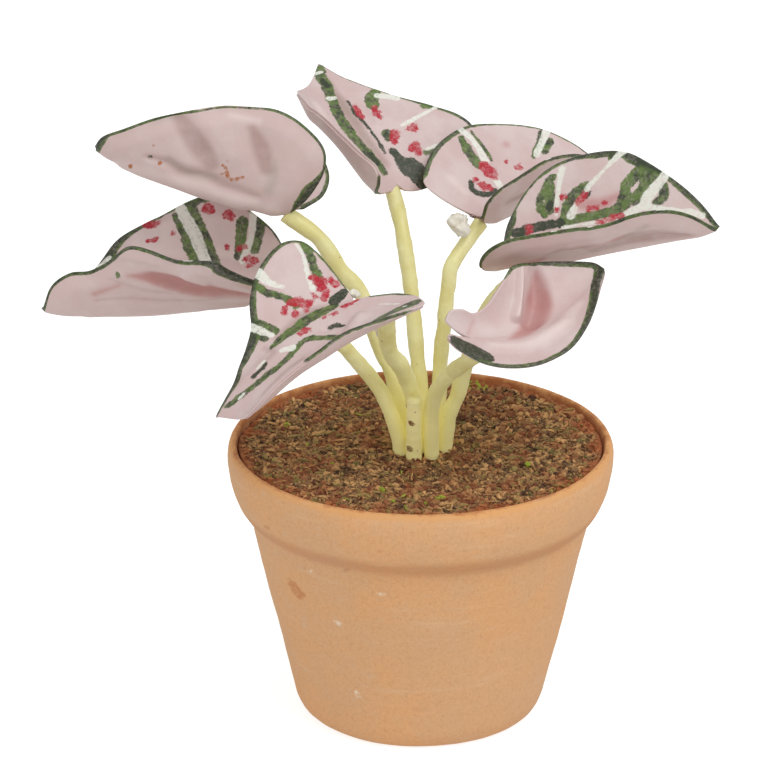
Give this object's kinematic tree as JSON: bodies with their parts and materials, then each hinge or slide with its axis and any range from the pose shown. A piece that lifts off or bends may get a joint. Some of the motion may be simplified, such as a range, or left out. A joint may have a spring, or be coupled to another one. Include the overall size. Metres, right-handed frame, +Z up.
{
  "type": "miniature potted caladium",
  "caption": "Dollhouse miniature of a potted caladium: folded pink clay leaves with green painted edges on pale stems, in a small terracotta pot of soil.",
  "frame": {"origin": "centre of the pot's flat base", "axes": "+Z up along the pot's axis, -Y towards the viewer, +X to the viewer's right"},
  "size_m": [0.0558, 0.0376, 0.0527],
  "materials": {
    "terracotta": "matt unglazed terracotta",
    "soil": "coarse matt crumbs",
    "leaf_clay": "satin pink clay with painted edges and veins",
    "stem_clay": "satin pale yellow-green clay",
    "cut_stem_clay": "satin cream clay"
  },
  "bodies": {
    "root": {"pot": "terracotta", "soil": "soil", "upper_left_leaf": "leaf_clay", "left_leaf": "leaf_clay", "front_left_leaf": "leaf_clay", "top_leaf": "leaf_clay", "back_right_leaf": "leaf_clay", "right_leaf": "leaf_clay", "front_right_leaf": "leaf_clay", "upper_left_stem": "stem_clay", "left_stem": "stem_clay", "front_left_stem": "stem_clay", "top_stem": "stem_clay", "back_right_stem": "stem_clay", "right_stem": "stem_clay", "front_right_stem": "stem_clay", "cut_stem": "cut_stem_clay"}
  },
  "joints": []
}
